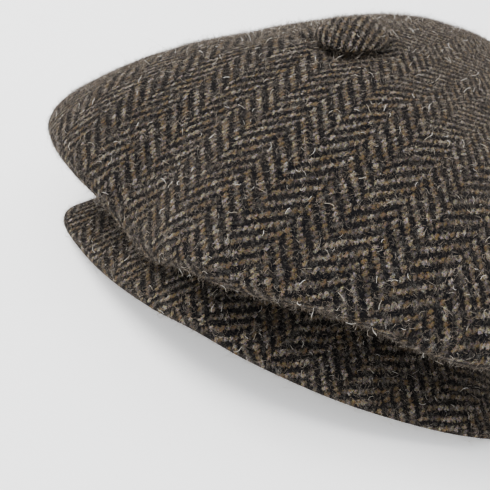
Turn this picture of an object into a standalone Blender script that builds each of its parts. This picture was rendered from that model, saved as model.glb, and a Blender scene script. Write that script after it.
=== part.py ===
# Flat cap in herringbone tweed, resting on a level surface.
# Metres. The front (peak) is toward -Y, the wearer's left is +X, up is +Z.
# It is drawn with the button's middle over the zero of x and y, and at the end everything moves
# along y together, so that the origin is on the surface below the middle of the whole cap.
import math

import bmesh
import bpy
import numpy as np
from mathutils.bvhtree import BVHTree

HEAD_LENGTH = 0.198      # head opening, front to back
HEAD_WIDTH = 0.162       # head opening, side to side
HEAD_BEHIND = 0.031      # centre of the head opening behind the button
HEM_RISE = 0.042         # how far the hem climbs from the back to the root of the peak
HEM_FLAT = 0.28          # share of the opening, behind its centre, where the hem starts to climb
CROWN_HALF = 0.128       # the unit of the crown's plan, about half of its width
CROWN_TOP = 0.100        # height of the cloth under the button, the unit of the crown's heights
CLOTH = 0.0022           # tweed and lining together
SEAT = 0.014             # rounding of the crown's top under the button
PEAK_REACH = 0.108       # front of the peak ahead of the button
PEAK_HALF = 0.106        # half of the peak's width
PEAK_ARCH = 0.0255       # middle of the peak's edge above its ends
PEAK_THICK = 0.0046      # stiffener with cloth on both sides
PEAK_TURN = 2.1          # degrees that the peak's outline is turned, back on the wearer's left
PEAK_ASIDE = 0.0065      # and how far it lies to that side
PEAK_ROOT = 0.76         # share of the opening's front half that the peak's root runs along
BUTTON_ACROSS = 0.030
BUTTON_RISE = 0.0062
GAP = 0.0005             # clearance between two pieces

# The crown in directions from the button, from the front (0) round to the back (180).
# rim, reach: shares of CROWN_HALF; edge, rim_up, turn, lift: shares of CROWN_TOP.
# edge is where the pull of the top would meet the rim, rim_up the height of the rim itself,
# sharp how late the top rolls over to it, and bow how much of the pull is a full dome.
# turn is how far the cloth drops from the rim, reach and lift the way it comes in to the hem.
CROWN_COLUMNS = ("angle", "rim", "edge", "rim_up", "sharp", "turn", "reach", "lift", "bow")
CROWN_ROWS = (
    (0, 0.838, 0.601, 0.563, 5.0, 0.072, 0.266, -0.067, 0.39),
    (30, 0.838, 0.614, 0.518, 5.0, 0.091, 0.141, -0.050, 0.53),
    (60, 1.023, 0.559, 0.450, 4.4, 0.200, 0.047, 0.020, 0.55),
    (90, 0.968, 0.504, 0.403, 3.3, 0.250, 0.031, 0.030, 0.43),
    (120, 0.986, 0.538, 0.412, 2.8, 0.270, 0.023, 0.030, 0.33),
    (150, 1.028, 0.599, 0.521, 2.6, 0.307, 0.023, 0.030, 0.41),
    (180, 1.080, 0.668, 0.591, 2.8, 0.336, 0.023, 0.030, 0.45),
)

# Where the cloth is caught, pulled or sags. angle as above, minus on the wearer's right; place: 0 at the
# button, 1 at the rim, 2 at the hem; wide in degrees; long in the same unit as place; deep, toward
# the head, and down: shares of CROWN_TOP.
FOLD_COLUMNS = ("angle", "place", "wide", "long", "deep", "down")
FOLD_ROWS = (
    (-18, 1.15, 13, 0.50, 0.020, 0.133),
    (-140, 0.76, 40, 0.50, 0.0, 0.073),
    (175, 0.80, 32, 0.50, 0.0, -0.026),
)

# The peak's outer edge from its middle round to where it meets the hem at the temple.
# across: share of PEAK_HALF; ahead: share of PEAK_REACH; up: share of PEAK_ARCH above the ends.
PEAK_COLUMNS = ("across", "ahead", "up")
PEAK_ROWS = (
    (0.000, 1.000, 1.00),
    (0.225, 0.975, 0.84),
    (0.500, 0.902, 0.58),
    (0.735, 0.809, 0.37),
    (0.912, 0.717, 0.23),
    (0.992, 0.612, 0.06),
    (0.950, 0.505, 0.00),
    (0.884, 0.390, 0.01),
    (0.824, 0.255, 0.14),
    (0.785, 0.105, 0.33),
)

ROUND = 64               # directions round the crown
TOP_RINGS = 14
LOW_RINGS = 9
PEAK_STEPS = 52
PEAK_RINGS = 7


def clear_scene():
    for item in list(bpy.data.objects):
        bpy.data.objects.remove(item, do_unlink=True)


def around(angle, columns, rows):
    """The rows' values at each angle: a cosine series through the rows, even about front and back."""
    table = np.array(rows, float)
    order = np.arange(len(table))
    waves = np.cos(np.outer(np.radians(table[:, 0]), order))
    fitted = np.cos(np.outer(angle, order)) @ np.linalg.solve(waves, table)
    return {name: fitted[:, i] for i, name in enumerate(columns)}


def hem_distance(angle):
    """From the button's axis to the oval of the head opening, in each direction."""
    across, along = np.sin(angle), -np.cos(angle)
    half_width, half_length = HEAD_WIDTH / 2, HEAD_LENGTH / 2
    a = (across / half_width) ** 2 + (along / half_length) ** 2
    b = -2 * along * HEAD_BEHIND / half_length**2
    c = (HEAD_BEHIND / half_length) ** 2 - 1
    return (-b + np.sqrt(b * b - 4 * a * c)) / (2 * a)


def hem_height(y):
    """The hem is flat on the surface at the back and climbs to the root of the peak."""
    start = HEAD_BEHIND + HEM_FLAT * HEAD_LENGTH
    share = np.clip((start - y) / ((0.5 + HEM_FLAT) * HEAD_LENGTH), 0, None)
    return HEM_RISE * share**2.2


def crown_rings():
    """Rings of points from the button out over the top, round the rim and in to the hem."""
    angle = np.linspace(0, 2 * math.pi, ROUND, endpoint=False)
    row = around(angle, CROWN_COLUMNS, CROWN_ROWS)
    rim, edge, rim_up = row["rim"] * CROWN_HALF, row["edge"] * CROWN_TOP, row["rim_up"] * CROWN_TOP
    hem = hem_distance(angle)
    hem_up = hem_height(-hem * np.cos(angle))
    rings = []
    for t in np.linspace(0, 1, TOP_RINGS)[1:]:
        share = math.sin(t * math.pi / 2)
        out = share * rim
        pulled = (np.sqrt(out**2 + SEAT**2) - SEAT) / (np.sqrt(rim**2 + SEAT**2) - SEAT)
        pulled = (1 - row["bow"]) * pulled + row["bow"] * share**2
        roll = 1 - np.sqrt(np.clip(1 - share ** row["sharp"], 0, 1))
        rings.append((out, CROWN_TOP - (CROWN_TOP - edge) * pulled - (edge - rim_up) * roll))
    corners = (
        (rim, rim_up),
        (rim, rim_up - row["turn"] * CROWN_TOP),
        (hem + row["reach"] * CROWN_HALF, hem_up + row["lift"] * CROWN_TOP),
        (hem, hem_up),
    )
    for s in np.linspace(0, 1, LOW_RINGS + 1)[1:]:
        weights = ((1 - s) ** 3, 3 * (1 - s) ** 2 * s, 3 * (1 - s) * s * s, s**3)
        rings.append(tuple(sum(w * c[i] for w, c in zip(weights, corners)) for i in (0, 1)))
    return [np.stack([out * np.sin(angle), -out * np.cos(angle), up], axis=1) for out, up in rings]


def fold_moves(points):
    """How far each point of the rings moves where the cloth is caught."""
    inward = [0, HEAD_BEHIND, HEM_RISE] - points
    inward /= np.linalg.norm(inward, axis=1)[:, None]
    angle = np.degrees(np.linspace(0, 2 * math.pi, ROUND, endpoint=False))
    top, low = np.linspace(0, 1, TOP_RINGS)[1:], np.linspace(1, 2, LOW_RINGS + 1)[1:]
    angle, place = (grid.ravel() for grid in np.meshgrid(angle, np.concatenate([top, low])))
    moves = np.zeros_like(points)
    for fold in FOLD_ROWS:
        row = dict(zip(FOLD_COLUMNS, fold))
        away = (angle - row["angle"] + 180) % 360 - 180
        near = np.exp(-((away / row["wide"]) ** 2) - ((place - row["place"]) / row["long"]) ** 2)
        moves += near[:, None] * CROWN_TOP * (row["deep"] * inward - [0, 0, row["down"]])
    return moves


def ring_faces(count, rings, start=0, tip=None, flip=False):
    """Quads between neighbouring rings of count points, and a fan to a tip before the first ring."""
    faces = []
    for j in range(count):
        k = (j + 1) % count
        if tip is not None:
            faces.append((tip, start + j, start + k))
        for r in range(rings - 1):
            a, b = start + r * count, start + (r + 1) * count
            faces.append((a + j, b + j, b + k, a + k))
    return [tuple(reversed(f)) for f in faces] if flip else faces


def vertex_normals(points, faces):
    normals = np.zeros_like(points)
    for face in faces:
        a, b, c = points[face[0]], points[face[1]], points[face[2]]
        normal = np.cross(b - a, c - a)
        if len(face) == 4:
            normal = normal + np.cross(c - a, points[face[3]] - a)
        for index in face:
            normals[index] += normal
    return normals / np.linalg.norm(normals, axis=1)[:, None]


def smooth_path(rows, count):
    """Points evenly along a smooth curve through the rows."""
    rows = np.array(rows, float)
    fine = []
    for i in range(len(rows) - 1):
        p0, p1, p2, p3 = (rows[min(max(i + k, 0), len(rows) - 1)] for k in (-1, 0, 1, 2))
        for s in np.linspace(0, 1, 24, endpoint=False):
            bend = 2 * p1 + (p2 - p0) * s + (2 * p0 - 5 * p1 + 4 * p2 - p3) * s * s
            fine.append((bend + (3 * p1 - p0 - 3 * p2 + p3) * s**3) / 2)
    fine = np.array(fine + [rows[-1]])
    length = np.concatenate([[0], np.cumsum(np.linalg.norm(np.diff(fine, axis=0), axis=1))])
    wanted = np.linspace(0, length[-1], count)
    return np.stack([np.interp(wanted, length, fine[:, i]) for i in range(3)], axis=1)


def peak_edge():
    half = [(a * PEAK_HALF, -b * PEAK_REACH, PEAK_THICK + c * PEAK_ARCH) for a, b, c in PEAK_ROWS]
    path = smooth_path([(-x, y, z) for x, y, z in reversed(half[1:])] + half, PEAK_STEPS + 1)
    free = np.clip(-path[:, 1] / PEAK_REACH / 0.6 - 0.2, 0, 1)
    path[:, 1] += free * path[:, 0] * math.tan(math.radians(PEAK_TURN))
    path[:, 0] += np.clip(-path[:, 1] / PEAK_REACH / 0.25 - 0.1, 0, 1) * PEAK_ASIDE
    return path


def peak_root():
    """The inner edge of the peak, along the front of the head opening and just under the hem."""
    turn = np.linspace(-PEAK_ROOT, PEAK_ROOT, PEAK_STEPS + 1) * math.pi / 2
    x = HEAD_WIDTH / 2 * np.sin(turn)
    y = HEAD_BEHIND - HEAD_LENGTH / 2 * np.cos(turn)
    return np.stack([x, y, hem_height(y) - GAP], axis=1)


def peak_rows():
    root, edge = peak_root(), peak_edge()
    swell = np.cos(np.linspace(-1, 1, PEAK_STEPS + 1) * math.pi / 2) * PEAK_THICK * 0.5
    rows = []
    for s in np.linspace(0, 1, PEAK_RINGS):
        row = root * (1 - s) + edge * s
        row[:, 2] += 4 * s * (1 - s) * swell
        rows.append(row)
    return rows


def new_object(name, points, faces, colour, roughness):
    mesh = bpy.data.meshes.new(name)
    mesh.from_pydata([tuple(float(v) for v in p) for p in points], [], faces)
    work = bmesh.new()
    work.from_mesh(mesh)
    bmesh.ops.remove_doubles(work, verts=work.verts, dist=1e-6)
    bmesh.ops.recalc_face_normals(work, faces=work.faces)
    work.to_mesh(mesh)
    work.free()
    item = bpy.data.objects.new(name, mesh)
    bpy.context.scene.collection.objects.link(item)
    material = bpy.data.materials.new(name + " cloth")
    material.use_nodes = True
    surface = material.node_tree.nodes["Principled BSDF"]
    surface.inputs["Base Color"].default_value = (*colour, 1)
    surface.inputs["Roughness"].default_value = roughness
    mesh.materials.append(material)
    return item


# The peak comes first, because the crown's front rests just above it.
# Its top is a net of rows from the root to the edge. The underside is the same net set down by the
# thickness and flat where the ends rest on the surface. The edge between them is turned round.
def make_peak():
    rows = peak_rows()
    steps = PEAK_STEPS + 1
    top = np.concatenate(rows)
    net = [
        (r * steps + j, r * steps + j + 1, (r + 1) * steps + j + 1, (r + 1) * steps + j)
        for r in range(PEAK_RINGS - 1)
        for j in range(PEAK_STEPS)
    ]
    normals = vertex_normals(top, net)
    normals *= np.sign(normals[:, 2:3] + 1e-12)
    under = top.copy()
    under[:, 2] = np.maximum(top[:, 2] - PEAK_THICK / np.maximum(normals[:, 2], 0.7), 0)
    outline = list(range(steps))
    outline += [r * steps + PEAK_STEPS for r in range(1, PEAK_RINGS)]
    outline += [(PEAK_RINGS - 1) * steps + j for j in range(PEAK_STEPS - 1, -1, -1)]
    outline += [r * steps for r in range(PEAK_RINGS - 2, 0, -1)]
    count = len(top)
    points = np.concatenate([top, under])
    middle = []
    for place, index in enumerate(outline):
        before, after = top[outline[place - 1]], top[outline[(place + 1) % len(outline)]]
        along = after - before
        away = np.cross(normals[index], along)
        away[2] = 0
        length = np.linalg.norm(away)
        inner = index < steps
        push = 0 if inner or length == 0 else 0.42 * PEAK_THICK / length
        middle.append((top[index] + under[index]) / 2 - away * push)
    points = np.concatenate([points, np.array(middle)])
    points[:, 2] = np.maximum(points[:, 2], 0)
    faces = list(net) + [tuple(i + count for i in reversed(f)) for f in net]
    for place in range(len(outline)):
        following = (place + 1) % len(outline)
        a, b = outline[place], outline[following]
        m, n = 2 * count + place, 2 * count + following
        faces += [(a, b, n, m), (m, n, b + count, a + count)]
    return new_object("peak", points, faces, (0.050, 0.040, 0.032), 0.95), (top, net)


# The crown is one skin of cloth from the button round to the hem, with an inner skin set in by the
# thickness of the cloth and a flat hem between the two.
def make_crown(peak_top):
    rings = crown_rings()
    points = np.concatenate([[[0, 0, CROWN_TOP]]] + rings)
    points[1:] += fold_moves(points[1:])
    points_on_peak, net = peak_top
    tree = BVHTree.FromPolygons([tuple(map(float, p)) for p in points_on_peak], net)
    for index in range(1 + ROUND * (TOP_RINGS - 1), len(points)):
        x, y, z = (float(v) for v in points[index])
        for dx, dy in ((0, 0), (0, 1), (0, -1), (1, 0), (-1, 0)):
            hit = tree.ray_cast((x + dx * 1.6 * CLOTH, y + dy * 1.6 * CLOTH, 1.0), (0, 0, -1))[0]
            if hit is not None:
                points[index][2] = max(points[index][2], hit.z + 2 * GAP)
    points[:, 2] = np.maximum(points[:, 2], 0)
    count = len(rings)
    faces = ring_faces(ROUND, count, start=1, tip=0)
    normals = vertex_normals(points, faces)
    if normals[0][2] < 0:
        normals = -normals
    inside = points - normals * CLOTH
    last = len(points) - ROUND
    for index in range(last, len(points)):
        flat = points[index][:2] - np.array([0, HEAD_BEHIND])
        flat = flat / np.linalg.norm(flat)
        inside[index] = (*(points[index][:2] - flat * CLOTH), points[index][2])
    inside[:, 2] = np.maximum(inside[:, 2], 0)
    total = len(points)
    faces += ring_faces(ROUND, count, start=total + 1, tip=total, flip=True)
    for j in range(ROUND):
        k = (j + 1) % ROUND
        faces.append((last + j, last + total + j, last + total + k, last + k))
    points = np.concatenate([points, inside])
    return new_object("crown", points, faces, (0.055, 0.044, 0.034), 0.95), (points[:total], faces)


# The button is a low dome of the same cloth, its underside following the crown just below it.
def make_button(crown_skin):
    points_on_crown, faces_of_crown = crown_skin
    outer = [f for f in faces_of_crown if max(f) < len(points_on_crown)]
    tree = BVHTree.FromPolygons([tuple(map(float, p)) for p in points_on_crown], outer)
    sides = 32
    profile = ((0.0, 1.0), (0.30, 0.96), (0.58, 0.82), (0.80, 0.58), (0.94, 0.28), (1.0, 0.10))
    points, faces = [], []

    def seat(x, y):
        return tree.ray_cast((x, y, 1.0), (0, 0, -1))[0].z + 2 * GAP

    def rings_of(values, height):
        start = len(points)
        points.append((0.0, 0.0, height(0.0, 0.0, values[0][1])))
        for share, up in values[1:]:
            for j in range(sides):
                turn = 2 * math.pi * j / sides
                x, y = share * BUTTON_ACROSS / 2 * math.sin(turn), -share * BUTTON_ACROSS / 2 * math.cos(turn)
                points.append((x, y, height(x, y, up)))
        return start

    over = rings_of(profile, lambda x, y, up: seat(x, y) + up * BUTTON_RISE)
    below = rings_of([(share, 0.0) for share, _ in profile], lambda x, y, up: seat(x, y))
    rings = len(profile) - 1
    faces += ring_faces(sides, rings, start=over + 1, tip=over)
    faces += ring_faces(sides, rings, start=below + 1, tip=below, flip=True)
    a, b = over + 1 + (rings - 1) * sides, below + 1 + (rings - 1) * sides
    faces += [(a + j, b + j, b + (j + 1) % sides, a + (j + 1) % sides) for j in range(sides)]
    return new_object("button", points, faces, (0.060, 0.048, 0.037), 0.95)


def centre_along_y(items):
    reach = [vertex.co.y for item in items for vertex in item.data.vertices]
    middle = (min(reach) + max(reach)) / 2
    for item in items:
        for vertex in item.data.vertices:
            vertex.co.y -= middle


clear_scene()
peak, peak_top = make_peak()
crown, crown_skin = make_crown(peak_top)
button = make_button(crown_skin)
centre_along_y([peak, crown, button])
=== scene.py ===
import math

import bpy
import numpy as np
from mathutils import Matrix, Vector, noise
from mathutils.bvhtree import BVHTree


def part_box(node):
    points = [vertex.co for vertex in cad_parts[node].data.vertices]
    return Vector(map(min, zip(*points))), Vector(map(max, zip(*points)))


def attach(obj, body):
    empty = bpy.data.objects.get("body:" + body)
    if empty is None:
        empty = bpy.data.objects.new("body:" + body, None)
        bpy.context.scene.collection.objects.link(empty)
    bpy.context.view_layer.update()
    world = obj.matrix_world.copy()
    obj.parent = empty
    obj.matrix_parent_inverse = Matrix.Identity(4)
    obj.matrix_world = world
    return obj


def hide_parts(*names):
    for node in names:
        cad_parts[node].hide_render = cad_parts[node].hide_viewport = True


# A flat cap in herringbone tweed, resting on a pale surface. Metres; the peak points to -Y,
# the wearer's left is +X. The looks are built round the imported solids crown, peak and button.
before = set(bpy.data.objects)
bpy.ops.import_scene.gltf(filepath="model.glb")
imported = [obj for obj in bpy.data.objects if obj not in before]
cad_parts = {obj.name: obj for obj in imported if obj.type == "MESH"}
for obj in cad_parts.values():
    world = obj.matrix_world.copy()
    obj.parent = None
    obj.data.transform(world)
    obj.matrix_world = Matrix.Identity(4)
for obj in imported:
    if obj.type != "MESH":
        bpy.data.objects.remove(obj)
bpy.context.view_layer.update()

# The camera stands in front of the cap, over the wearer's left, and looks down on it.
CAMERA_TURNS = (31.01, 41.21, 5.29)           # azimuth, elevation and roll in degrees
CAMERA_PLACE = (0.0976, -0.2453, 0.2004)
CAMERA_LENS, CAMERA_SENSOR = 46.2, 36         # millimetres
azimuth, elevation, roll = (math.radians(turn) for turn in CAMERA_TURNS)
level = Vector((math.cos(azimuth), math.sin(azimuth), 0))
forward = Vector((
    -math.sin(azimuth) * math.cos(elevation),
    math.cos(azimuth) * math.cos(elevation),
    -math.sin(elevation),
))
upward = level.cross(forward)
right = math.cos(roll) * level + math.sin(roll) * upward
upward = math.cos(roll) * upward - math.sin(roll) * level
camera = bpy.data.objects.new("camera", bpy.data.cameras.new("camera"))
camera.data.sensor_width = CAMERA_SENSOR
camera.data.lens = CAMERA_LENS
camera.data.clip_start = 0.01
camera.matrix_world = Matrix(
    [(right[i], upward[i], -forward[i], CAMERA_PLACE[i]) for i in range(3)] + [(0, 0, 0, 1)]
)
bpy.context.scene.collection.objects.link(camera)
bpy.context.scene.camera = camera

# The studio: a pale matt sweep that rises behind the cap, a soft light high on the left, a weak
# one low at the right, and a pale sky that is brighter above and at the back.
SWEEP_FRONT, SWEEP_BACK, SWEEP_BEND, SWEEP_TOP = -1.6, 1.2, 0.5, 2.2
SWEEP_HALF, SWEEP_STEPS = 3.0, 24
# Name, watts, width, place and the point that the light looks at.
LAMPS = (
    ("key", 29.5, 0.7, (-0.67, -0.12, 1.28), (0, 0, 0.05)),
    ("fill", 3.2, 1.0, (1.15, -0.85, 0.6), (0, 0, 0.04)),
)
LAMP_COLOUR, SKY_COLOUR = (1.0, 0.985, 0.96), (0.94, 0.96, 1.0, 1)


def new_look(name, values):
    """A material, its node tree and the sockets of its shader, with the values that don't vary."""
    look = bpy.data.materials.new(name)
    look.use_nodes = True
    surface = look.node_tree.nodes["Principled BSDF"].inputs
    for key, value in values.items():
        surface[key].default_value = value
    return look, look.node_tree, surface


bend = [(SWEEP_FRONT, 0.0)] + [
    (SWEEP_BACK + SWEEP_BEND * math.sin(a), SWEEP_BEND - SWEEP_BEND * math.cos(a))
    for a in np.linspace(0, math.pi / 2, SWEEP_STEPS)
] + [(SWEEP_BACK + SWEEP_BEND, SWEEP_TOP)]
floor_mesh = bpy.data.meshes.new("floor")
floor_mesh.from_pydata(
    [(x, y, z) for y, z in bend for x in (-SWEEP_HALF, SWEEP_HALF)], [],
    [(2 * i, 2 * i + 1, 2 * i + 3, 2 * i + 2) for i in range(len(bend) - 1)],
)
floor_mesh.polygons.foreach_set("use_smooth", [True] * len(floor_mesh.polygons))
floor_look, _, _ = new_look("floor", {
    "Base Color": (0.965, 0.965, 0.96, 1), "Roughness": 0.85,
    "Emission Color": (1, 1, 0.99, 1), "Emission Strength": 0.45,
})
floor_mesh.materials.append(floor_look)
floor = bpy.data.objects.new("floor", floor_mesh)
bpy.context.scene.collection.objects.link(floor)
for name, watts, width, place, aim in LAMPS:
    lamp = bpy.data.objects.new(name, bpy.data.lights.new(name, "AREA"))
    lamp.data.energy = watts
    lamp.data.size = width
    lamp.data.color = LAMP_COLOUR
    lamp.location = place
    lamp.rotation_euler = (Vector(aim) - Vector(place)).to_track_quat("-Z", "Y").to_euler()
    bpy.context.scene.collection.objects.link(lamp)


class Value:
    """A float socket of a shader tree that can be used in plain arithmetic."""

    def __init__(self, tree, socket):
        self.tree, self.socket = tree, socket

    def maths(self, operation, *others):
        step = self.tree.nodes.new("ShaderNodeMath")
        step.operation = operation
        for slot, other in zip(step.inputs, (self, *others)):
            if isinstance(other, Value):
                self.tree.links.new(other.socket, slot)
            else:
                slot.default_value = other
        return Value(self.tree, step.outputs[0])

    def __add__(self, other):
        return self.maths("ADD", other)

    def __radd__(self, other):
        return self.maths("ADD", other)

    def __sub__(self, other):
        return self.maths("SUBTRACT", other)

    def __rsub__(self, other):
        return (self * -1) + other

    def __mul__(self, other):
        return self.maths("MULTIPLY", other)

    def __rmul__(self, other):
        return self.maths("MULTIPLY", other)

    def __truediv__(self, other):
        return self.maths("DIVIDE", other)

    def floor(self):
        return self.maths("FLOOR")

    def part(self):
        return self.maths("FRACT")

    def wave(self):
        """Zero at whole numbers and one half-way between them."""
        return (self * math.pi).maths("SINE").maths("ABSOLUTE")

    def strand(self, fineness):
        """One along the lines where a noise crosses its middle, zero beside them."""
        return 1 - ((self - 0.5).maths("ABSOLUTE") * fineness).maths("MINIMUM", 1.0)

    def between(self, low, high):
        """Zero at or below low, one at or above high, smooth between."""
        step = self.tree.nodes.new("ShaderNodeMapRange")
        step.interpolation_type = "SMOOTHSTEP"
        self.tree.links.new(self.socket, step.inputs["Value"])
        step.inputs["From Min"].default_value, step.inputs["From Max"].default_value = low, high
        return Value(self.tree, step.outputs["Result"])


def add_node(tree, kind, settings, sockets):
    """Any other node: its settings, then a value, a link or a list of links for each socket."""
    item = tree.nodes.new(kind)
    for key, setting in settings.items():
        setattr(item, key, setting)
    for key, given in sockets.items():
        for one in given if isinstance(given, list) else [given]:
            if isinstance(one, Value):
                tree.links.new(one.socket, item.inputs[key])
            elif isinstance(one, bpy.types.NodeSocket):
                tree.links.new(one, item.inputs[key])
            else:
                item.inputs[key].default_value = one
    return item


def blend(tree, factor, first, second, mode="MIX"):
    """One colour over another."""
    mix = add_node(tree, "ShaderNodeMix", {"data_type": "RGBA", "blend_type": mode}, {
        0: factor, 6: first, 7: second,
    })
    return mix.outputs[2]


sky = bpy.data.worlds.new("sky")
bpy.context.scene.world = sky
sky.use_nodes = True
direction = add_node(sky.node_tree, "ShaderNodeTexCoord", {}, {})
parts = add_node(
    sky.node_tree, "ShaderNodeSeparateXYZ", {}, {"Vector": direction.outputs["Generated"]}
)
to_left, to_back, above = (Value(sky.node_tree, part) for part in parts.outputs)
behind = to_back * 0.75 - to_left * 0.66
brightness = (above.between(-0.1, 1.0) * 1.2 + 0.7) * (behind.between(-0.7, 0.8) * 1.35 + 0.50)
sky.node_tree.nodes["Background"].inputs["Color"].default_value = SKY_COLOUR
sky.node_tree.links.new(brightness.socket, sky.node_tree.nodes["Background"].inputs["Strength"])

# The crown: one piece of soft wool tweed, full over the head, turned under its own rim all round
# and brought in to the hem. Its front is caught down on the peak, a little to one side.
HEAD_LENGTH, HEAD_WIDTH, HEAD_BEHIND = 0.198, 0.162, 0.031
HEM_RISE, HEM_FLAT, HEM_POWER = 0.042, 0.28, 2.2
CROWN_HALF, CROWN_TOP, SEAT, CLOTH = 0.128, 0.100, 0.014, 0.0022
CROWN_COLUMNS = ("angle", "rim", "edge", "rim_up", "sharp", "turn", "reach", "lift", "bow")
CROWN_ROWS = (
    (0, 0.838, 0.601, 0.563, 5.0, 0.072, 0.266, -0.067, 0.39),
    (30, 0.838, 0.614, 0.518, 5.0, 0.091, 0.141, -0.050, 0.53),
    (60, 1.023, 0.559, 0.450, 4.4, 0.200, 0.047, 0.020, 0.55),
    (90, 0.968, 0.504, 0.403, 3.3, 0.250, 0.031, 0.030, 0.43),
    (120, 0.986, 0.538, 0.412, 2.8, 0.270, 0.023, 0.030, 0.33),
    (150, 1.028, 0.599, 0.521, 2.6, 0.307, 0.023, 0.030, 0.41),
    (180, 1.080, 0.668, 0.591, 2.8, 0.336, 0.023, 0.030, 0.45),
)
# Where the cloth is caught down on the peak, sags and is held up: direction, place, width in
# degrees, length, and shares of CROWN_TOP toward the head and down.
FOLD_ROWS = (
    (-18, 1.15, 13, 0.50, 0.020, 0.133),
    (-140, 0.76, 40, 0.50, 0.0, 0.073),
    (175, 0.80, 32, 0.50, 0.0, -0.026),
)
MIDDLE = Vector((0, sum(corner[1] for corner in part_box("button")) / 2, 0))   # the button's middle
AROUND, OVER, UNDER, FIRST_RING = 288, 96, 56, 0.012
# The soft unevenness of the cloth: breadth of the lumps, their height, and a seed.
CROWN_LUMPS = ((0.045, 0.0016, 1), (0.016, 0.0006, 2))
OVER_PEAK, NEAR_PEAK, ABOVE_ALL = 0.0011, 0.003, 0.3


def hem_height(y):
    start = HEAD_BEHIND + HEM_FLAT * HEAD_LENGTH
    return HEM_RISE * np.clip((start - y) / ((0.5 + HEM_FLAT) * HEAD_LENGTH), 0, None) ** HEM_POWER


def crown_net(angle, place):
    """Points of the crown round the button: place is 0 there, 1 at the rim, 2 at the hem."""
    table = np.array(CROWN_ROWS, float)
    order = np.arange(len(table))
    series = np.linalg.solve(np.cos(np.outer(np.radians(table[:, 0]), order)), table)
    row = dict(zip(CROWN_COLUMNS, np.moveaxis(np.cos(angle[..., None] * order) @ series, -1, 0)))
    rim, edge, rim_up = row["rim"] * CROWN_HALF, row["edge"] * CROWN_TOP, row["rim_up"] * CROWN_TOP
    across, along = np.sin(angle), -np.cos(angle)
    # The hem's distance from the button's axis: the head opening is an ellipse that lies behind it.
    half_width, half_length = HEAD_WIDTH / 2, HEAD_LENGTH / 2
    a = (across / half_width) ** 2 + (along / half_length) ** 2
    b = -2 * along * HEAD_BEHIND / half_length**2
    c = (HEAD_BEHIND / half_length) ** 2 - 1
    hem = (-b + np.sqrt(b * b - 4 * a * c)) / (2 * a)
    hem_up = hem_height(hem * along)
    # The top, from the button's seat over the roll to the rim.
    share = np.sin(np.clip(place, 0, 1) * math.pi / 2)
    out = share * rim
    pulled = (np.sqrt(out**2 + SEAT**2) - SEAT) / (np.sqrt(rim**2 + SEAT**2) - SEAT)
    pulled = (1 - row["bow"]) * pulled + row["bow"] * share**2
    roll = 1 - np.sqrt(np.clip(1 - share ** row["sharp"], 0, 1))
    up = CROWN_TOP - (CROWN_TOP - edge) * pulled - (edge - rim_up) * roll
    # The wall, from the rim down and in to the hem.
    s = np.clip(place - 1, 0, 1)
    corners = (
        (rim, rim_up),
        (rim, rim_up - row["turn"] * CROWN_TOP),
        (hem + row["reach"] * CROWN_HALF, hem_up + row["lift"] * CROWN_TOP),
        (hem, hem_up),
    )
    weights = ((1 - s) ** 3, 3 * (1 - s) ** 2 * s, 3 * (1 - s) * s * s, s**3)
    wall = [sum(w * corner[i] for w, corner in zip(weights, corners)) for i in (0, 1)]
    out, up = np.where(place > 1, wall[0], out), np.where(place > 1, wall[1], up)
    points = np.stack([out * across, out * along, up], axis=-1)
    inward = np.array([0, HEAD_BEHIND, HEM_RISE]) - points
    inward /= np.linalg.norm(inward, axis=-1, keepdims=True)
    moved = points.copy()
    for bearing, middle, wide, long, deep, down in FOLD_ROWS:
        away = (np.degrees(angle) - bearing + 180) % 360 - 180
        near = np.exp(-((away / wide) ** 2) - ((place - middle) / long) ** 2)
        moved += near[..., None] * CROWN_TOP * (deep * inward - np.array([0, 0, down]))
    return moved


def net_faces(count, rings, closed=True, flip=False):
    """The faces of a net of rings with count points each."""
    faces = []
    for ring in range(rings - 1):
        a, b = ring * count, (ring + 1) * count
        for j in range(count if closed else count - 1):
            k = (j + 1) % count
            faces.append((a + j, b + j, b + k, a + k))
    return [tuple(reversed(f)) for f in faces] if flip else faces


def soft_lumps(points, breadth, height, seed):
    """The uneven lie of soft cloth, as a distance along the normal for each point."""
    shift = Vector((seed * 7.31, seed * 3.17, seed * 5.57))
    return np.array([noise.noise(Vector(p) / breadth + shift) * height for p in points])


def normals_of(points, faces):
    faces = np.array(faces)
    a, b, c, d = (points[faces[:, i]] for i in range(4))
    flat = np.cross(c - a, d - b)
    normals = np.zeros_like(points)
    for i in range(4):
        np.add.at(normals, faces[:, i], flat)
    return normals / np.maximum(np.linalg.norm(normals, axis=1), 1e-15)[:, None]


def mesh_object(name, points, faces, cloth_map=None, look=None):
    """A smooth mesh object; the cloth map holds a place on the laid-out cloth for each point."""
    mesh = bpy.data.meshes.new(name)
    mesh.from_pydata([tuple(float(v) for v in p) for p in points], [], faces)
    if cloth_map is not None:
        layer = mesh.uv_layers.new(name="cloth")
        corners = [cloth_map[i] for face in faces for i in face]
        layer.data.foreach_set("uv", np.asarray(corners, np.float32).ravel())
    mesh.polygons.foreach_set("use_smooth", [True] * len(mesh.polygons))
    if look is not None:
        mesh.materials.append(look)
    item = bpy.data.objects.new(name, mesh)
    bpy.context.scene.collection.objects.link(item)
    return item


# The tweed itself: a two-and-two twill whose direction turns every nine ends, light warp over a
# near-black weft. The cloth map is in millimetres of cloth, u across the columns and v along them.
END, ENDS = 1.4, 9
WARP_BROWN, WARP_GOLD = (0.066, 0.053, 0.041), (0.109, 0.073, 0.035)
WARP_PALE, KEMP_PALE = (0.365, 0.315, 0.240), (0.42, 0.40, 0.36)
WEFT_BLACK, WEFT_BROWN = (0.0020, 0.0024, 0.0038), (0.0068, 0.0057, 0.0053)
FIBRE_BLACK, FIBRE_PALE = (0.0054, 0.0056, 0.0070), (0.17, 0.15, 0.125)
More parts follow.
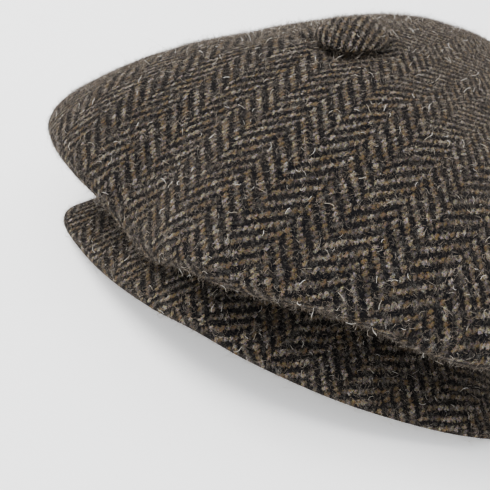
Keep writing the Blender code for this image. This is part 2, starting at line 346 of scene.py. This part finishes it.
# How the yarns stray from their lines: the noise's scale and detail, and the reach in millimetres.
STRAY_ROWS = ((0.16, 2.0, 1.6), (0.9, 2.0, 0.9), (2.4, 1.0, 1.1))
# The wool was dyed in several lots: tints between which two noises choose, from fibre to fibre.
DYE_ROWS = (
    ((0.86, 0.935, 1.38, 1), (1.07, 1.02, 0.75, 1)),      # grey and violet, to golden
    ((1.07, 0.92, 1.08, 1), (0.94, 1.09, 0.90, 1)),       # reddish, to greenish
)
# How far the yarns stand out, in metres.
YARN_RELIEF = 0.00055


def tweed(name, painted_light=1.0, turns=True):
    """The cloth, read from the map called cloth; without turns its twill runs one way only. Above
    one, painted_light makes the wool's colours lighter: painted light.
    """
    look, tree, surface = new_look(name, {
        "Roughness": 0.92, "Specular IOR Level": 0.03,
        "Sheen Weight": 0.07, "Sheen Roughness": 0.25, "Sheen Tint": (0.80, 0.66, 0.54, 1),
    })
    cloth = add_node(tree, "ShaderNodeUVMap", {"uv_map": "cloth"}, {}).outputs["UV"]

    # Painted light: with a factor above one the wool's colours are made lighter, in place of more
    # light falling on the cloth.
    def with_painted_light(colour):
        return (*(share * painted_light for share in colour), 1)

    def cloud(scale, detail, vector=cloth, **others):
        """A noise over the cloth."""
        return add_node(
            tree, "ShaderNodeTexNoise", {"noise_dimensions": "2D"},
            {"Vector": vector, "Scale": scale, "Detail": detail, **others},
        )

    def channels(source):
        """The three values that a colour holds."""
        split = add_node(tree, "ShaderNodeSeparateColor", {}, {"Color": source.outputs["Color"]})
        return [Value(tree, split.outputs[i]) for i in range(3)]

    place = add_node(tree, "ShaderNodeSeparateXYZ", {}, {"Vector": cloth})
    u, v = Value(tree, place.outputs["X"]), Value(tree, place.outputs["Y"])
    for scale, detail, reach in STRAY_ROWS:
        sway = channels(cloud(scale, detail))
        u = u + (sway[0] - 0.5) * reach
        v = v + (sway[1] - 0.5) * reach

    end = u / END
    pick = v / END
    index = end.floor()
    column = (index / ENDS + 0.001).floor() if turns else index * 0
    local = index - column * ENDS
    odd = (column / 2).part().wave()                       # 0 in even columns, 1 in odd ones
    phase = (pick - (1 - odd * 2) * local) / 4 + odd * 0.5 + 100
    float_place = phase.part()
    float_index = phase.floor()
    # A warp float is up for half of the phase; it bulges along and across.
    along = (float_place * 2).maths("MINIMUM", 1.0).wave()
    across = end.part().wave()
    warp = along.maths("POWER", 0.45) * (across * 0.45 + 0.55)
    under = (pick.part().wave() * 0.6 + 0.4) * (1 - along)

    # Each float has its own tone, and the yarn its streaks of several colours of wool.
    stamp = add_node(tree, "ShaderNodeCombineXYZ", {}, {"X": index, "Y": float_index, "Z": odd})
    tones = channels(add_node(tree, "ShaderNodeTexWhiteNoise", {"noise_dimensions": "3D"}, {
        "Vector": stamp.outputs["Vector"],
    }))
    stretch = add_node(
        tree, "ShaderNodeCombineXYZ", {}, {"X": u * 2.2 + v * 0.95, "Y": v * 0.80, "Z": 0.0}
    )
    fibres = channels(cloud(1.0, 3.0, stretch.outputs["Vector"], Roughness=0.7, Distortion=0.5))
    flecks = channels(cloud(0.33, 3.0))
    grain = fibres[0]
    warm = (tones[0] * 0.5 + flecks[0] + fibres[1] * 0.5 - 1.0) * 2.2 + 0.5
    wool = blend(tree, warm.between(0.30, 0.85), with_painted_light(WARP_BROWN), with_painted_light(WARP_GOLD))
    pale = (tones[1] * 0.45 + grain * 1.5 - 0.55).between(0.38, 0.95)
    wool = blend(tree, pale, wool, with_painted_light(WARP_PALE))
    lots = channels(cloud(1.1, 3.0, Roughness=0.7))
    for lot, (first, second) in zip(lots, DYE_ROWS):
        dye = blend(tree, lot.between(0.36, 0.64), first, second)
        wool = blend(tree, 1.0, wool, dye, "MULTIPLY")
    weft = blend(tree, flecks[1].between(0.35, 0.75), (*WEFT_BLACK, 1), (*WEFT_BROWN, 1))
    shown = (warp * 1.10 + (grain - 0.5) * 1.75 + (tones[2] - 0.5) * 0.30).between(0.30, 0.90)
    colour = blend(tree, shown, weft, wool)

    # Single fibres cross the yarns, dark over light and light over dark.
    for scale, distortion, fineness, amount, tint in (
        (0.60, 1.5, 8, 0.75, (*FIBRE_BLACK, 1)),
        (0.52, 2.2, 13, 0.15, with_painted_light(FIBRE_PALE)),
    ):
        line = Value(tree, cloud(scale, 2.0, Distortion=distortion).outputs[0]).strand(fineness)
        colour = blend(tree, line * line * amount, colour, tint)
    # Pale coarse hairs lie here and there in the yarn.
    hairs = Value(tree, cloud(1.5, 1.0, Distortion=2.2).outputs[0]).strand(26)
    kemps = hairs * flecks[2].between(0.56, 0.66) * 0.55
    colour = blend(tree, kemps, colour, with_painted_light(KEMP_PALE))
    tree.links.new(colour, surface["Base Color"])
    height = warp + under * 0.45 + (grain - 0.5) * 0.7 + kemps * 0.8
    bump = add_node(
        tree, "ShaderNodeBump", {}, {"Strength": 1.0, "Distance": YARN_RELIEF, "Height": height}
    )
    tree.links.new(bump.outputs["Normal"], surface["Normal"])
    return look


# The columns on the laid-out top, in millimetres: their width and what it gains toward the front,
# where it does so, where they start, and how they lean in front of the button and behind it.
COLUMN_WIDTH, COLUMN_GAIN, GAIN_AT, GAIN_OVER = 12.6, 1.7, 60, 45
COLUMN_START, LEAN_FRONT, LEAN_BACK = 8.0, 0.235, 0.10


def cloth_columns(flat):
    """From millimetres across and along the laid-out top to the map of the cloth."""
    u, v = flat[..., 0], flat[..., 1]
    width = COLUMN_WIDTH + COLUMN_GAIN * np.tanh((-v - GAIN_AT) / GAIN_OVER)
    start = COLUMN_START + np.where(v < 0, LEAN_FRONT, LEAN_BACK) * v
    return np.stack([(u - start) / width * END * ENDS, v], axis=-1)


def crown_piece():
    """The crown's points ring by ring, their map, and each ring's place from button to hem."""
    angle = np.linspace(0, 2 * math.pi, AROUND, endpoint=False)
    places = np.concatenate([np.linspace(FIRST_RING, 1, OVER), np.linspace(1, 2, UNDER + 1)[1:]])
    grid_place, grid_angle = np.meshgrid(places, angle, indexing="ij")
    net = crown_net(grid_angle, grid_place)
    # Distance from the button over the cloth: straight on the top, ring by ring under the rim.
    path = np.linalg.norm(net - [0, 0, CROWN_TOP], axis=2)
    stepped = np.linalg.norm(np.diff(net, axis=0), axis=2)
    for ring in range(OVER, len(places)):
        path[ring] = path[ring - 1] + stepped[ring - 1]
    flat = np.stack([path * np.sin(grid_angle), -path * np.cos(grid_angle)], axis=-1) * 1000
    return net.reshape(-1, 3), cloth_columns(flat), places


points, crown_map, places = crown_piece()
rings = len(places)
points[:, 1] += MIDDLE.y
# The wall and the turned-in cloth lie over the peak, never in it.
peak_node = bpy.data.objects["peak"]
peak_tree = BVHTree.FromPolygons(
    [peak_node.matrix_world @ v.co for v in peak_node.data.vertices],
    [tuple(p.vertices) for p in peak_node.data.polygons],
)
for i in range(AROUND * OVER, len(points)):
    x, y, _ = points[i]
    for dx, dy in ((0, 0), (0, NEAR_PEAK), (0, -NEAR_PEAK), (NEAR_PEAK, 0), (-NEAR_PEAK, 0)):
        hit = peak_tree.ray_cast((x + dx, y + dy, ABOVE_ALL), (0, 0, -1))[0]
        if hit is not None:
            points[i][2] = max(points[i][2], hit.z + OVER_PEAK)
outer = net_faces(AROUND, rings)
normals = normals_of(points, outer)
# The lumps die away toward the hem, which the stitches hold flat.
CALM_FROM, CALM_OVER = 1.5, 0.4
calm = np.repeat(1 - np.clip((places - CALM_FROM) / CALM_OVER, 0, 1), AROUND)
lumps = sum(soft_lumps(points, *row) for row in CROWN_LUMPS)
# The thread pulls the cloth in under the button and into short creases beside it: the dip's depth,
# its flat middle and its slope, then the creases' bearings from the front and their depths.
BUTTON_DIP, DIP_FLAT, DIP_SLOPE, DIP_POWER = 0.003, 0.0125, 0.006, 0.7
CREASES = ((-68, 0.0012), (-110, 0.0006), (20, 0.0006), (95, 0.0008))
CREASE_WIDE, CREASE_AT, CREASE_LONG = 11, 0.0185, 0.0065
from_button = np.hypot(points[:, 0], points[:, 1] - MIDDLE.y)
bearing = np.degrees(np.arctan2(points[:, 0], MIDDLE.y - points[:, 1]))
lumps -= BUTTON_DIP * (1 - np.clip((from_button - DIP_FLAT) / DIP_SLOPE, 0, 1)) ** DIP_POWER
for way, depth in CREASES:
    beside = ((bearing - way + 180) % 360 - 180) / CREASE_WIDE
    lumps -= depth * np.exp(-beside**2 - ((from_button - CREASE_AT) / CREASE_LONG) ** 2)
points += normals * (lumps * calm)[:, None]
tip = len(points)
crown_points = [*points, points[:AROUND].mean(axis=0)]
crown_fan = [(tip, j, (j + 1) % AROUND) for j in range(AROUND)]
map_middle = cloth_columns(np.zeros(2))
tweed_look = tweed("herringbone tweed")
crown = mesh_object(
    "crown_cloth", crown_points, outer + crown_fan,
    [*crown_map.reshape(-1, 2), map_middle], tweed_look,
)
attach(crown, "root")
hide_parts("crown")

# The inside of the crown: the back of the same cloth, which meets the outside in a flat hem.
INNER_FIRST, INNER_OVER, INNER_UNDER = 0.03, 26, 23
inner_places = [*np.linspace(INNER_FIRST, 1, INNER_OVER), *np.linspace(1, 2, INNER_UNDER)[1:]]
inner_rows = [int(np.abs(places - p).argmin()) for p in inner_places]
outside = points.reshape(rings, AROUND, 3)[:, ::2]
turned = normals.reshape(rings, AROUND, 3)[:, ::2]
inside = np.array([outside[row] - turned[row] * CLOTH for row in inner_rows])
inward = outside[-1] - np.array([0, HEAD_BEHIND + MIDDLE.y, 0])
inward[:, 2] = 0
inward /= np.linalg.norm(inward, axis=1)[:, None]
inside[-1] = outside[-1] - inward * CLOTH
inside = np.concatenate([inside, [outside[-1]]])
inside[..., 2] = np.maximum(inside[..., 2], 0.0)
half = AROUND // 2
inner_points = inside.reshape(-1, 3)
tip = len(inner_points)
inner_faces = net_faces(half, len(inside), flip=True)
inner_faces += [(tip, (j + 1) % half, j) for j in range(half)]
inner_map = [crown_map[row][::2] for row in inner_rows] + [crown_map[-1][::2] + [0, CLOTH * 1000]]
back_of_cloth = mesh_object(
    "crown_inside", [*inner_points, inside[0].mean(axis=0)], inner_faces,
    [*np.concatenate(inner_map), map_middle], tweed_look,
)
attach(back_of_cloth, "root")

# The peak: a thin curved stiffener covered in the same tweed, top and under, its edge turned round.
# It is sewn in under the front of the hem and lies a little askew.
PEAK_REACH, PEAK_HALF, PEAK_ARCH, PEAK_THICK = 0.108, 0.106, 0.0255, 0.0046
PEAK_TURN, PEAK_ASIDE, PEAK_ROOT = 2.1, 0.0065, 0.76
# Shares of PEAK_HALF aside, PEAK_REACH forward and PEAK_ARCH up, from the middle of the edge back.
PEAK_ROWS = (
    (0.000, 1.000, 1.00),
    (0.225, 0.975, 0.84),
    (0.500, 0.902, 0.58),
    (0.735, 0.809, 0.37),
    (0.912, 0.717, 0.23),
    (0.992, 0.612, 0.06),
    (0.950, 0.505, 0.00),
    (0.884, 0.390, 0.01),
    (0.824, 0.255, 0.14),
    (0.785, 0.105, 0.33),
)
# The turn and the shift aside come in forward of the root: over what share of PEAK_REACH, and
# how late in it. The root lies a little below the hem.
TURN_OVER, TURN_LATE, ASIDE_OVER, ASIDE_LATE, ROOT_BELOW = 0.6, 0.2, 0.25, 0.1, 0.0005
PEAK_STEPS, PEAK_NET_ROWS, PEAK_ROLL, ROLL_FULL = 260, 34, 8, 0.42
PEAK_SWELL, PEAK_STEEP, CURVE_STEPS = 0.5, 0.7, 24
# The covered edge is thicker where the cloth is gathered, at the wearer's left: by how much, and
# where and over what length, as shares of PEAK_REACH.
GATHER, GATHER_AT, GATHER_LONG = 0.0035, 0.48, 0.16
PEAK_LUMPS = (0.03, 0.0005, 5)


def smooth_path(rows, count):
    """Points at equal distances on a smooth curve through the rows."""
    rows = np.array(rows, float)
    fine = []
    for i in range(len(rows) - 1):
        p0, p1, p2, p3 = (rows[min(max(i + k, 0), len(rows) - 1)] for k in (-1, 0, 1, 2))
        for s in np.linspace(0, 1, CURVE_STEPS, endpoint=False):
            bend = 2 * p1 + (p2 - p0) * s + (2 * p0 - 5 * p1 + 4 * p2 - p3) * s * s
            fine.append((bend + (3 * p1 - p0 - 3 * p2 + p3) * s**3) / 2)
    fine = np.array(fine + [rows[-1]])
    length = np.concatenate([[0], np.cumsum(np.linalg.norm(np.diff(fine, axis=0), axis=1))])
    wanted = np.linspace(0, length[-1], count)
    return np.stack([np.interp(wanted, length, column) for column in fine.T], axis=1)


side = [(a * PEAK_HALF, -b * PEAK_REACH, PEAK_THICK + c * PEAK_ARCH) for a, b, c in PEAK_ROWS]
edge = smooth_path([(-x, y, z) for x, y, z in reversed(side[1:])] + side, PEAK_STEPS + 1)
free = np.clip(-edge[:, 1] / PEAK_REACH / TURN_OVER - TURN_LATE, 0, 1)
edge[:, 1] += free * edge[:, 0] * math.tan(math.radians(PEAK_TURN))
edge[:, 0] += np.clip(-edge[:, 1] / PEAK_REACH / ASIDE_OVER - ASIDE_LATE, 0, 1) * PEAK_ASIDE
gathered = np.exp(-((edge[:, 1] / PEAK_REACH + GATHER_AT) / GATHER_LONG) ** 2)
edge[:, 0] += (edge[:, 0] > 0) * GATHER * gathered
turn = np.linspace(-PEAK_ROOT, PEAK_ROOT, PEAK_STEPS + 1) * math.pi / 2
root = np.stack([
    HEAD_WIDTH / 2 * np.sin(turn), HEAD_BEHIND - HEAD_LENGTH / 2 * np.cos(turn), 0 * turn,
], axis=1)
root[:, 2] = hem_height(root[:, 1]) - ROOT_BELOW
swell = np.cos(np.linspace(-1, 1, PEAK_STEPS + 1) * math.pi / 2) * PEAK_THICK * PEAK_SWELL
top = np.array([
    root * (1 - s) + edge * s + np.stack([0 * swell, 0 * swell, 4 * s * (1 - s) * swell], axis=1)
    for s in np.linspace(0, 1, PEAK_NET_ROWS)
])
top[..., 1] += MIDDLE.y
top = top.reshape(-1, 3)
top_faces = net_faces(PEAK_STEPS + 1, PEAK_NET_ROWS, closed=False)
top_normals = normals_of(top, top_faces)
if top_normals[:, 2].mean() < 0:
    top_faces = [tuple(reversed(f)) for f in top_faces]
    top_normals = -top_normals
low = top.copy()
low[:, 2] = np.maximum(top[:, 2] - PEAK_THICK / np.maximum(top_normals[:, 2], PEAK_STEEP), 0)
top += top_normals * soft_lumps(top, *PEAK_LUMPS)[:, None]
count = len(top)
# The outline of the net: the root, one side, the edge and the other side.
across = PEAK_STEPS + 1
outline = list(range(across)) + [row * across + PEAK_STEPS for row in range(1, PEAK_NET_ROWS)]
outline += [(PEAK_NET_ROWS - 1) * across + j for j in range(PEAK_STEPS - 1, -1, -1)]
outline += [row * across for row in range(PEAK_NET_ROWS - 2, 0, -1)]
outline = np.array(outline)
along = np.roll(top[outline], -1, axis=0) - np.roll(top[outline], 1, axis=0)
outward = np.cross(along, top_normals[outline])
outward[:, 2] = 0
outward /= np.maximum(np.linalg.norm(outward, axis=1), 1e-9)[:, None]
if ((top[outline] - top[outline].mean(axis=0)) * outward).sum(axis=1).mean() < 0:
    outward = -outward
outward -= top_normals[outline] * (top_normals[outline] * outward).sum(axis=1)[:, None]
outward /= np.maximum(np.linalg.norm(outward, axis=1), 1e-9)[:, None]
outward[outline <= PEAK_STEPS] = 0
rolls = []
for k in range(1, PEAK_ROLL):
    swing = math.pi * k / PEAK_ROLL
    share = (1 + math.cos(swing)) / 2
    ring = top[outline] * share + low[outline] * (1 - share)
    ring = ring + outward * PEAK_THICK * ROLL_FULL * math.sin(swing)
    ring[:, 2] = np.maximum(ring[:, 2], 0)
    rolls.append(ring)
peak_points = np.concatenate([top, low, *rolls])
bands = [2 * count + k * len(outline) + np.arange(len(outline)) for k in range(PEAK_ROLL - 1)]
edge_faces = []
for a, b in zip([outline, *bands], [*bands, outline + count]):
    for j in range(len(outline)):
        k = (j + 1) % len(outline)
        edge_faces.append((int(a[j]), int(a[k]), int(b[k]), int(b[j])))
# The cloth on the peak is stretched a little forward, and its columns lean.
PEAK_STRETCH, PEAK_MAP_START, PEAK_LEAN = 1.05, 4.0, 0.10
peak_flat = np.zeros((len(peak_points), 2))
peak_flat[:, 0] = peak_points[:, 0] * 1000
peak_flat[:, 1] = (peak_points[:, 1] - MIDDLE.y) * 1000 * PEAK_STRETCH
for k, band in enumerate(bands):
    peak_flat[band] += outward[:, :2] * 1000 * PEAK_THICK * (k + 1) / PEAK_ROLL
peak_map = np.stack(
    [peak_flat[:, 0] + PEAK_MAP_START - peak_flat[:, 1] * PEAK_LEAN, peak_flat[:, 1]], axis=1
)
peak_faces = top_faces + [tuple(i + count for i in reversed(f)) for f in top_faces] + edge_faces
# The peak's tweed is painted 1.15 times lighter than the crown's: painted light on the peak.
peak = mesh_object("peak_cloth", peak_points, peak_faces, peak_map, tweed("peak tweed, painted lighter", painted_light=1.15))
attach(peak, "root")
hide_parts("peak")

# The button: a flat disc covered in tweed and sewn through the top, so that it sits in a shallow
# dip. It was cut from one column of the cloth, so its lines all lean one way.
BUTTON_ACROSS, BUTTON_RISE, BUTTON_CLEAR, BUTTON_SIDES = 0.030, 0.0062, 0.0009, 72
# Shares of half of BUTTON_ACROSS outward and of BUTTON_RISE up.
BUTTON_ROWS = (
    (0.0, 1.0), (0.30, 0.97), (0.56, 0.86), (0.78, 0.66), (0.93, 0.38),
    (1.0, 0.06), (0.96, -0.12), (0.82, -0.16), (0.4, -0.1),
)
BUTTON_RINGS, BUTTON_CREST, BUTTON_LUMPS = 30, 0.00005, (0.008, 0.0005, 9)
BUTTON_LEAN, BUTTON_WEAVE = 57, 1.3           # degrees, and how much finer the weave shows
crown_tree = BVHTree.FromPolygons([tuple(map(float, p)) for p in crown_points], outer + crown_fan)
profile, radius = smooth_path(BUTTON_ROWS, BUTTON_RINGS), BUTTON_ACROSS / 2
swirl = np.linspace(0, 2 * math.pi, BUTTON_SIDES, endpoint=False)
button_points = []
for share, up in profile[1:]:
    for a in swirl:
        x, y = share * radius * math.sin(a), MIDDLE.y - share * radius * math.cos(a)
        seat = crown_tree.ray_cast((x, y, ABOVE_ALL), (0, 0, -1))[0].z
        button_points.append((x, y, seat + BUTTON_DIP + BUTTON_CLEAR + up * BUTTON_RISE))
button_points = np.array(button_points)
button_faces = net_faces(BUTTON_SIDES, len(profile) - 1)
button_normals = normals_of(button_points, button_faces)
if button_normals[0][2] < 0:
    button_faces = [tuple(reversed(f)) for f in button_faces]
    button_normals = -button_normals
button_points += button_normals * soft_lumps(button_points, *BUTTON_LUMPS)[:, None]
tip, pit = len(button_points), len(button_points) + 1
last = (len(profile) - 2) * BUTTON_SIDES
button_faces += [(tip, j, (j + 1) % BUTTON_SIDES) for j in range(BUTTON_SIDES)]
button_faces += [(pit, last + (j + 1) % BUTTON_SIDES, last + j) for j in range(BUTTON_SIDES)]
crest = button_points[:BUTTON_SIDES].mean(axis=0) + np.array([0, 0, BUTTON_CREST])
button_points = [*button_points, crest, button_points[-BUTTON_SIDES:].mean(axis=0)]
arc = np.cumsum(np.hypot(np.diff(profile[:, 0]) * radius, np.diff(profile[:, 1]) * BUTTON_RISE))
button_flat = np.concatenate([
    *(np.stack([a * np.sin(swirl), -a * np.cos(swirl)], axis=1) for a in arc * 1000),
    np.zeros((2, 2)),
])
swing = math.radians(BUTTON_LEAN)
button_turn = np.array([[math.cos(swing), -math.sin(swing)], [math.sin(swing), math.cos(swing)]])
# The button's tweed is painted 1.35 times lighter than the crown's: painted light on the button.
button = mesh_object(
    "button_cloth", button_points, button_faces, BUTTON_WEAVE * button_flat @ button_turn,
    tweed("plain tweed, painted lighter", painted_light=1.35, turns=False),
)
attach(button, "root")
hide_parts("button")

# Loose wool: short down and curly fibres all over the outside, coarse pale hairs among them, and a
# few long ones. They are fibres of the yarns themselves that have worked loose.
DOWN_COLOURS = ((0.066, 0.053, 0.041, 1), (0.236, 0.190, 0.145, 1))
FLOSS_COLOURS = ((0.085, 0.070, 0.055, 1), (0.42, 0.37, 0.31, 1))
KEMP_COLOURS = ((0.45, 0.40, 0.32, 1), (0.85, 0.82, 0.76, 1))
HAIR_LEAST, HAIR_MOST, HAIR_SHAPES, HAIR_ROOT, HAIR_CLEAR = 0.4, 1.25, 5, 0.0003, 0.00003


def wool_look(name, colours):
    look, tree, surface = new_look(name, {"Roughness": 0.6, "Specular IOR Level": 0.25})
    place = add_node(tree, "ShaderNodeTexCoord", {}, {})
    change = add_node(tree, "ShaderNodeTexNoise", {}, {
        "Vector": place.outputs["Object"], "Scale": 420.0, "Detail": 1.0,
    })
    amount = Value(tree, change.outputs[0]).between(0.42, 0.62)
    tree.links.new(blend(tree, amount, *colours), surface["Base Color"])
    return look


def wool_tree(name, look, thick, long, flat, curl, seed):
    """A tree that grows hairs on the faces it is given; without curl they are plain spikes."""
    tree = bpy.data.node_groups.new(name, "GeometryNodeTree")
    tree.interface.new_socket("Geometry", in_out="INPUT", socket_type="NodeSocketGeometry")
    for title, size in (
        ("Hairs per square metre", 0.0), ("Thickness", thick), ("Length", long), ("Lean", flat),
    ):
        socket = tree.interface.new_socket(title, in_out="INPUT", socket_type="NodeSocketFloat")
        socket.default_value = size
    tree.interface.new_socket("Geometry", in_out="OUTPUT", socket_type="NodeSocketGeometry")
    source = add_node(tree, "NodeGroupInput", {}, {})
    density, thickness, length, slope = (Value(tree, socket) for socket in source.outputs[1:5])

    def along_hair(x, y, z):
        """A place beside the hair's root, in shares of its length."""
        return add_node(tree, "ShaderNodeVectorMath", {"operation": "SCALE"}, {
            "Vector": (x, y, z), "Scale": length,
        }).outputs[0]

    def leaning(by, turn):
        """Turns by one angle about the two level axes, and by another about the hair itself."""
        return add_node(tree, "ShaderNodeCombineXYZ", {}, {"X": by, "Y": by, "Z": turn}).outputs[0]

    if curl:
        rand = np.random.default_rng(seed)
        ring = add_node(tree, "GeometryNodeCurvePrimitiveCircle", {}, {
            "Resolution": 3, "Radius": thickness / 2,
        })
        hairs = []
        for _ in range(HAIR_SHAPES):
            (x, y), (far_x, far_y) = rand.normal(0, curl, (2, 2))
            strand = add_node(tree, "GeometryNodeCurvePrimitiveBezierSegment", {}, {
                "Resolution": 3,
                "Start": (0, 0, -HAIR_ROOT),
                "Start Handle": along_hair(x, y, 0.45),
                "End Handle": along_hair(far_x, far_y, 0.75),
                "End": along_hair(-x * 0.8, far_y * 0.4, 0.85),
            })
            hairs.append(add_node(tree, "GeometryNodeCurveToMesh", {}, {
                "Curve": strand.outputs[0], "Profile Curve": ring.outputs[0],
            }).outputs[0])
    else:
        hairs = [add_node(tree, "GeometryNodeMeshCone", {"fill_type": "NONE"}, {
            "Vertices": 3, "Radius Top": 0.0, "Radius Bottom": thickness / 2, "Depth": length,
        }).outputs[0]]
    shapes = add_node(tree, "GeometryNodeGeometryToInstance", {}, {0: hairs})
    scatter = add_node(tree, "GeometryNodeDistributePointsOnFaces", {}, {
        "Mesh": source.outputs[0], "Seed": seed, "Density": density,
    })
    lean = add_node(tree, "FunctionNodeRandomValue", {"data_type": "FLOAT_VECTOR"}, {
        0: leaning(slope * -1, -math.pi), 1: leaning(slope, math.pi), "Seed": seed + 1,
    })
    size = add_node(tree, "FunctionNodeRandomValue", {"data_type": "FLOAT"}, {
        2: HAIR_LEAST, 3: HAIR_MOST, "Seed": seed + 2,
    })
    turned = add_node(tree, "FunctionNodeRotateRotation", {"rotation_space": "LOCAL"}, {
        "Rotation": scatter.outputs["Rotation"], "Rotate By": lean.outputs[0],
    })
    grow = add_node(tree, "GeometryNodeInstanceOnPoints", {}, {
        "Points": scatter.outputs["Points"], "Instance": shapes.outputs[0], "Pick Instance": True,
        "Rotation": turned.outputs[0], "Scale": size.outputs[1],
    })
    real = add_node(tree, "GeometryNodeRealizeInstances", {}, {"Geometry": grow.outputs[0]})
    # A hair that would reach through the surface below is laid flat on it.
    position = add_node(tree, "GeometryNodeInputPosition", {}, {})
    parts = add_node(tree, "ShaderNodeSeparateXYZ", {}, {"Vector": position.outputs[0]})
    lifted = Value(tree, parts.outputs["Z"]).maths("MAXIMUM", HAIR_CLEAR)
    laid = add_node(tree, "ShaderNodeCombineXYZ", {}, {
        "X": parts.outputs["X"], "Y": parts.outputs["Y"], "Z": lifted,
    })
    bent = add_node(tree, "GeometryNodeSetPosition", {}, {
        "Geometry": real.outputs[0], "Position": laid.outputs[0],
    })
    painted = add_node(tree, "GeometryNodeSetMaterial", {}, {
        "Geometry": bent.outputs[0], "Material": look,
    })
    add_node(tree, "NodeGroupOutput", {}, {0: painted.outputs[0]})
    return tree


def grow_wool(name, points, faces, tree, density, slot):
    base = mesh_object(name + " base", points, faces)
    modifier = base.modifiers.new("wool", "NODES")
    modifier.node_group = tree
    modifier[tree.interface.items_tree["Hairs per square metre"].identifier] = density
    bpy.context.view_layer.update()
    ready = base.evaluated_get(bpy.context.evaluated_depsgraph_get())
    mesh = bpy.data.meshes.new_from_object(ready)
    bpy.data.objects.remove(base)
    mesh.name = name
    wool = bpy.data.objects.new(name, mesh)
    bpy.context.scene.collection.objects.link(wool)
    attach(wool, "root")


down_look = wool_look("down", DOWN_COLOURS)
floss_look = wool_look("grey wool", FLOSS_COLOURS)
kemp_look = wool_look("pale wool", KEMP_COLOURS)
# Thickness and length in metres, how far a hair leans in radians, its curl, and a seed.
down = wool_tree("down", down_look, 0.00013, 0.0019, 1.25, 0, 11)
curls = wool_tree("curly down", down_look, 0.00007, 0.0021, 1.2, 0.30, 13)
floss = wool_tree("floss", floss_look, 0.00007, 0.0036, 1.35, 0.40, 17)
kemp = wool_tree("kemp", kemp_look, 0.00015, 0.0032, 1.45, 0.22, 23)
stray = wool_tree("stray hairs", down_look, 0.00006, 0.014, 1.35, 0.22, 37)
# Wool stands on the outside only: on the crown down to a little under the rim.
WOOL_TO = 1.4
shown = AROUND * (int((places < WOOL_TO).sum()) - 1)
for part, points, faces, kinds in (
    ("crown", crown_points, outer[:shown] + crown_fan, (
        ("down", down, 650000), ("curls", curls, 115000), ("floss", floss, 75000),
        ("kemp", kemp, 13000), ("stray", stray, 1000),
    )),
    ("peak", peak_points, top_faces + edge_faces, (
        ("down", down, 650000), ("curls", curls, 115000), ("floss", floss, 80000),
        ("kemp", kemp, 13000), ("stray", stray, 1000),
    )),
    ("button", button_points, button_faces, (
        ("down", down, 750000), ("curls", curls, 115000), ("floss", floss, 50000),
        ("kemp", kemp, 9000),
    )),
):
    for kind, tree, density in kinds:
        grow_wool(part + "_" + kind, points, faces, tree, density, part + "_cloth")
